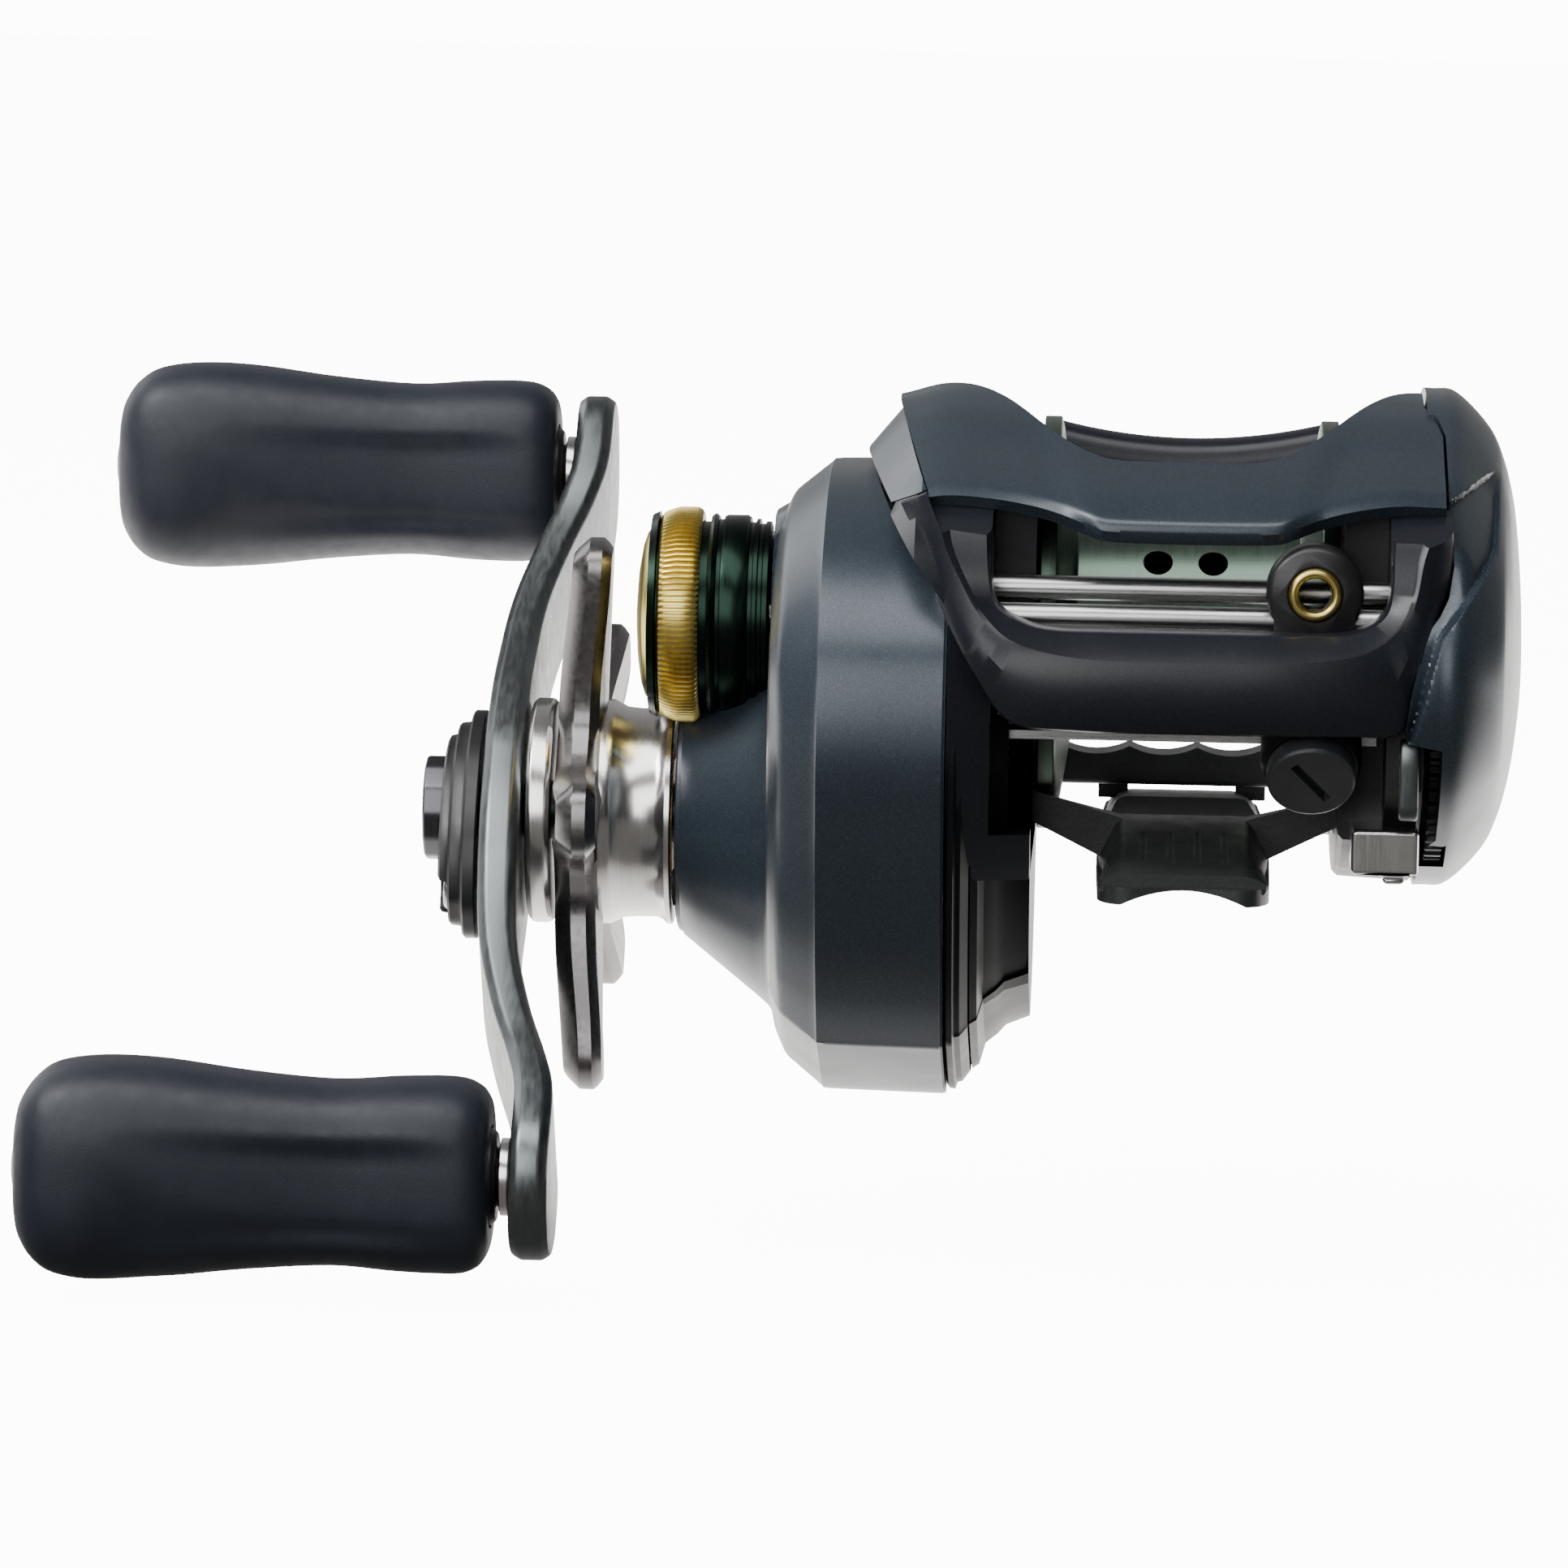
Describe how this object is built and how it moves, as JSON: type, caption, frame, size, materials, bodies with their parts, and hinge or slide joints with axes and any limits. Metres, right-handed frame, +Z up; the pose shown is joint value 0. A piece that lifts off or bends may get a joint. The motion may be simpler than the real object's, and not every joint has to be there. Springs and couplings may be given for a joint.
{
  "type": "baitcasting reel",
  "caption": "Low-profile baitcasting fishing reel with a levelwind, star drag, cast control, clutch bar and paired paddle knobs on a curved crank.",
  "frame": {"origin": "centre of the underside of the foot, directly under the spool axis", "axes": "+X along the spool axis towards the palm side (the handle is on -X); +Z up from the foot; -Y towards the rod tip, where the line leaves"},
  "size_m": [0.1228, 0.0794, 0.0731],
  "materials": {
    "body_coat": "satin",
    "frame_alloy": "satin",
    "dark_plastic": "satin",
    "black_part": "satin",
    "gloss_black_part": "gloss",
    "soft_grip": "matte",
    "steel_part": "satin",
    "dark_steel_part": "satin",
    "gun_metal_part": "satin",
    "chrome_part": "polished",
    "arm_anodised": "satin",
    "brass_part": "machined",
    "gold_anodised": "polished",
    "spool_alloy": "satin",
    "gear_polymer": "matte"
  },
  "bodies": {
    "frame_body": {"frame": "frame_alloy", "hood": "body_coat", "gear_side_cover": "body_coat", "cover_screw_1": "dark_steel_part", "cover_screw_2": "dark_steel_part", "cover_screw_3": "dark_steel_part", "drive_shaft_bearing": "steel_part", "roller_clutch": "dark_steel_part", "spool_bearing_handle": "steel_part", "pinion_bearing": "steel_part", "worm_guard": "steel_part", "guide_rod": "steel_part", "cross_rod": "steel_part", "yoke_spring_rear": "steel_part", "yoke_spring_front": "steel_part"},
    "handle": {"drive_shaft": "steel_part", "drive_gear": "brass_part", "drag_washer": "gear_polymer", "drag_key_washer": "steel_part", "drag_spring_washer": "steel_part", "roller_clutch_tube": "steel_part", "levelwind_driver_gear": "gear_polymer", "handle_arm": "arm_anodised", "handle_nut_cover": "black_part", "nut_cover_screw": "steel_part", "handle_nut": "steel_part", "handle_spacer": "chrome_part", "knob_shaft_lower": "steel_part", "knob_shaft_upper": "steel_part"},
    "star": {"star_drag": "gun_metal_part", "star_sleeve": "chrome_part", "star_nut": "brass_part"},
    "lower_knob": {"knob_lower": "soft_grip", "knob_bush_lower": "black_part", "knob_cap_lower": "black_part"},
    "upper_knob": {"knob_upper": "soft_grip", "knob_bush_upper": "black_part", "knob_cap_upper": "black_part"},
    "spool_body": {"spool": "spool_alloy", "spool_shaft": "steel_part"},
    "yoke": {"clutch_yoke": "dark_steel_part"},
    "pinion_body": {"pinion": "brass_part"},
    "cam": {"clutch_cam": "gear_polymer"},
    "tension": {"tension_knob": "black_part", "tension_grip_ring": "gold_anodised", "tension_cap": "gold_anodised"},
    "idler": {"levelwind_idler_gear": "gear_polymer"},
    "worm": {"worm_shaft": "steel_part", "worm_cog": "gear_polymer"},
    "carriage": {"line_guide": "black_part", "line_eyelet": "gold_anodised", "pawl_cap": "dark_plastic"},
    "pawl_body": {"pawl": "brass_part"},
    "palm_cover": {"palm_side_cover": "body_coat", "brake_case": "dark_plastic", "spool_bearing_palm": "steel_part"},
    "magnet_ring": {"brake_magnet_ring": "steel_part"},
    "dial": {"brake_dial": "black_part"},
    "lock_lever": {"palm_lock_lever": "dark_plastic"},
    "clutch_bar": {"thumb_bar": "gloss_black_part"}
  },
  "joints": [
    {"name": "handle_turn", "type": "hinge", "parent": "frame_body", "child": "handle", "pos_m": [0, 0.005, 0.0024], "axis": [1, 0, 0], "continuous": true},
    {"name": "star_turn", "type": "hinge", "parent": "handle", "child": "star", "pos_m": [0, 0.005, 0.0024], "axis": [1, 0, 0], "range_deg": [-180, 180]},
    {"name": "lower_knob_spin", "type": "hinge", "parent": "handle", "child": "lower_knob", "pos_m": [0, -0.0275, -0.02373], "axis": [1, 0, 0], "continuous": true},
    {"name": "upper_knob_spin", "type": "hinge", "parent": "handle", "child": "upper_knob", "pos_m": [0, 0.0375, 0.02853], "axis": [1, 0, 0], "continuous": true},
    {"name": "spool_spin", "type": "hinge", "parent": "frame_body", "child": "spool_body", "pos_m": [0, 0, 0.02], "axis": [1, 0, 0], "continuous": true},
    {"name": "clutch_bar_press", "type": "slide", "parent": "frame_body", "child": "clutch_bar", "axis": [0, 0, -1], "range_m": [0, 0.004]},
    {"name": "yoke_slide", "type": "slide", "parent": "frame_body", "child": "yoke", "axis": [-1, 0, 0], "range_m": [0, 0.0015], "deforming": ["yoke_spring_rear", "yoke_spring_front"]},
    {"name": "pinion_spin", "type": "hinge", "parent": "yoke", "child": "pinion_body", "pos_m": [0, 0, 0.02], "axis": [1, 0, 0], "continuous": true},
    {"name": "cam_turn", "type": "hinge", "parent": "frame_body", "child": "cam", "pos_m": [0, 0, 0.02], "axis": [1, 0, 0], "range_deg": [0, 20]},
    {"name": "tension_turn", "type": "hinge", "parent": "frame_body", "child": "tension", "pos_m": [0, 0, 0.02], "axis": [1, 0, 0], "range_deg": [-180, 180]},
    {"name": "idler_spin", "type": "hinge", "parent": "frame_body", "child": "idler", "pos_m": [0, -0.01319, 0.00696], "axis": [1, 0, 0], "continuous": true},
    {"name": "worm_spin", "type": "hinge", "parent": "frame_body", "child": "worm", "pos_m": [0, -0.0213, 0.0158], "axis": [1, 0, 0], "continuous": true},
    {"name": "carriage_travel", "type": "slide", "parent": "frame_body", "child": "carriage", "axis": [1, 0, 0], "range_m": [-0.0202, 0.0009]},
    {"name": "pawl_swivel", "type": "hinge", "parent": "carriage", "child": "pawl_body", "pos_m": [0.0101, -0.0213, 0.0158], "axis": [0, -0.8121, -0.5835], "range_deg": [-25, 25]},
    {"name": "palm_cover_release", "type": "slide", "parent": "frame_body", "child": "palm_cover", "axis": [1, 0, 0], "range_m": [0, 0.014]},
    {"name": "brake_dial_turn", "type": "hinge", "parent": "palm_cover", "child": "dial", "pos_m": [0, -0.0126, 0.0114], "axis": [1, 0, 0], "range_deg": [0, 270]},
    {"name": "magnet_ring_turn", "type": "hinge", "parent": "palm_cover", "child": "magnet_ring", "pos_m": [0, 0, 0.02], "axis": [1, 0, 0], "range_deg": [0, 67.5]},
    {"name": "lock_lever_swing", "type": "hinge", "parent": "frame_body", "child": "lock_lever", "pos_m": [0, -0.0274, 0.0126], "axis": [1, 0, 0], "range_deg": [-30, 0]}
  ],
  "couplings": [
    {"joint": "spool_spin", "follows": "handle_turn", "ratio": -6.2},
    {"joint": "pinion_spin", "follows": "handle_turn", "ratio": -6.2},
    {"joint": "idler_spin", "follows": "handle_turn", "ratio": -1.5},
    {"joint": "worm_spin", "follows": "handle_turn", "ratio": 2.5},
    {"joint": "yoke_slide", "follows": "clutch_bar_press", "ratio": 0.375},
    {"joint": "cam_turn", "follows": "clutch_bar_press", "rad_per_m": 87.266},
    {"joint": "magnet_ring_turn", "follows": "brake_dial_turn", "ratio": 0.25}
  ]
}
